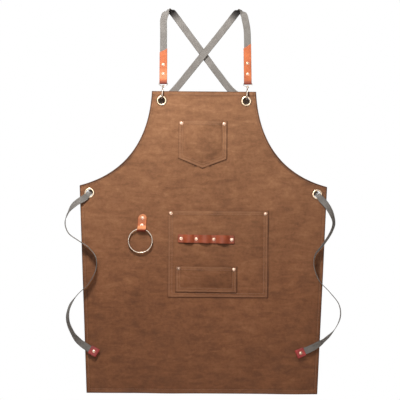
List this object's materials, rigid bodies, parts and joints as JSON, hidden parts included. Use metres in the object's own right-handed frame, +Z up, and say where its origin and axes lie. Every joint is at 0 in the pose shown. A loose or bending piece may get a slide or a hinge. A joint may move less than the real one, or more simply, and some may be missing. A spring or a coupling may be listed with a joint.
{
  "type": "work apron",
  "caption": "Cross-back canvas work apron with pockets, a leather tool strip, a towel ring and snap-hook shoulder straps that run on as waist ties.",
  "frame": {"origin": "the hang point: midway between the bights of the two shoulder straps, on the level where a hook or rail bears on them", "axes": "+Z up, +X to the right of someone who looks at the front, front of the apron towards -Y"},
  "size_m": [0.7586, 0.0477, 1.0577],
  "materials": {
    "canvas": "brown waxed cotton canvas, matt, mottled, with tone-on-tone stitching",
    "webbing": "grey cotton webbing, fine twill",
    "tan_leather": "orange-tan smooth leather, satin",
    "brown_leather": "reddish-brown smooth leather, satin",
    "red_leather": "red leather, satin",
    "copper_rivet": "pale copper, polished",
    "eyelet_metal": "champagne nickel on brass, polished",
    "hook_metal": "nickel plate, polished",
    "spring_steel": "drawn spring wire"
  },
  "bodies": {
    "apron": {"apron_panel": "canvas", "chest_pocket": "canvas", "large_pocket": "canvas", "small_pocket": "canvas", "left_shoulder_strap": "webbing", "left_tie": "webbing", "right_shoulder_strap": "webbing", "right_tie": "webbing", "ring_tab": "tan_leather", "left_strap_tab": "tan_leather", "right_strap_tab": "tan_leather", "tool_strip": "brown_leather", "left_tie_end": "red_leather", "right_tie_end": "red_leather", "chest_pocket_rivet_1": "copper_rivet", "chest_pocket_rivet_2": "copper_rivet", "large_pocket_rivet_1": "copper_rivet", "large_pocket_rivet_2": "copper_rivet", "small_pocket_rivet_1": "copper_rivet", "small_pocket_rivet_2": "copper_rivet", "tool_strip_rivet_1": "copper_rivet", "tool_strip_rivet_2": "copper_rivet", "tool_strip_rivet_3": "copper_rivet", "tool_strip_rivet_4": "copper_rivet", "ring_tab_rivet_1": "copper_rivet", "ring_tab_rivet_2": "copper_rivet", "left_strap_tab_rivet_1": "copper_rivet", "left_strap_tab_rivet_2": "copper_rivet", "right_strap_tab_rivet_1": "copper_rivet", "right_strap_tab_rivet_2": "copper_rivet", "left_tie_rivet": "copper_rivet", "right_tie_rivet": "copper_rivet", "left_bib_eyelet": "eyelet_metal", "left_bib_washer": "eyelet_metal", "left_waist_eyelet": "eyelet_metal", "left_waist_washer": "eyelet_metal", "right_bib_eyelet": "eyelet_metal", "right_bib_washer": "eyelet_metal", "right_waist_eyelet": "eyelet_metal", "right_waist_washer": "eyelet_metal", "left_hook_base": "hook_metal", "right_hook_base": "hook_metal"},
    "left_hook": {"left_hook_body": "hook_metal", "left_gate_pin": "hook_metal", "left_gate_spring": "spring_steel"},
    "left_gate": {"left_hook_gate": "hook_metal"},
    "right_hook": {"right_hook_body": "hook_metal", "right_gate_pin": "hook_metal", "right_gate_spring": "spring_steel"},
    "right_gate": {"right_hook_gate": "hook_metal"},
    "towel_ring": {"towel_ring": "hook_metal"}
  },
  "joints": [
    {"name": "left_hook_swivel", "type": "hinge", "parent": "apron", "child": "left_hook", "pos_m": [-0.11266, 0, -0.21657], "axis": [0.0959, 0, 0.9954], "range_deg": [-45, 45]},
    {"name": "left_gate_hinge", "type": "hinge", "parent": "left_hook", "child": "left_gate", "pos_m": [-0.11365, 0.0122, -0.22693], "axis": [-0.9954, 0, 0.0959], "range_deg": [0, 25], "stiffness_Nm_per_rad": 0.02, "springref_deg": -20.05},
    {"name": "right_hook_swivel", "type": "hinge", "parent": "apron", "child": "right_hook", "pos_m": [0.11994, 0, -0.21657], "axis": [0.0959, 0, 0.9954], "range_deg": [-45, 45]},
    {"name": "right_gate_hinge", "type": "hinge", "parent": "right_hook", "child": "right_gate", "pos_m": [0.11895, 0.0122, -0.22693], "axis": [-0.9954, 0, 0.0959], "range_deg": [0, 25], "stiffness_Nm_per_rad": 0.02, "springref_deg": -20.05},
    {"name": "towel_ring_swing", "type": "hinge", "parent": "apron", "child": "towel_ring", "pos_m": [-0.172, -0.0071, -0.609], "axis": [-1, 0, 0], "range_deg": [0, 95]}
  ]
}
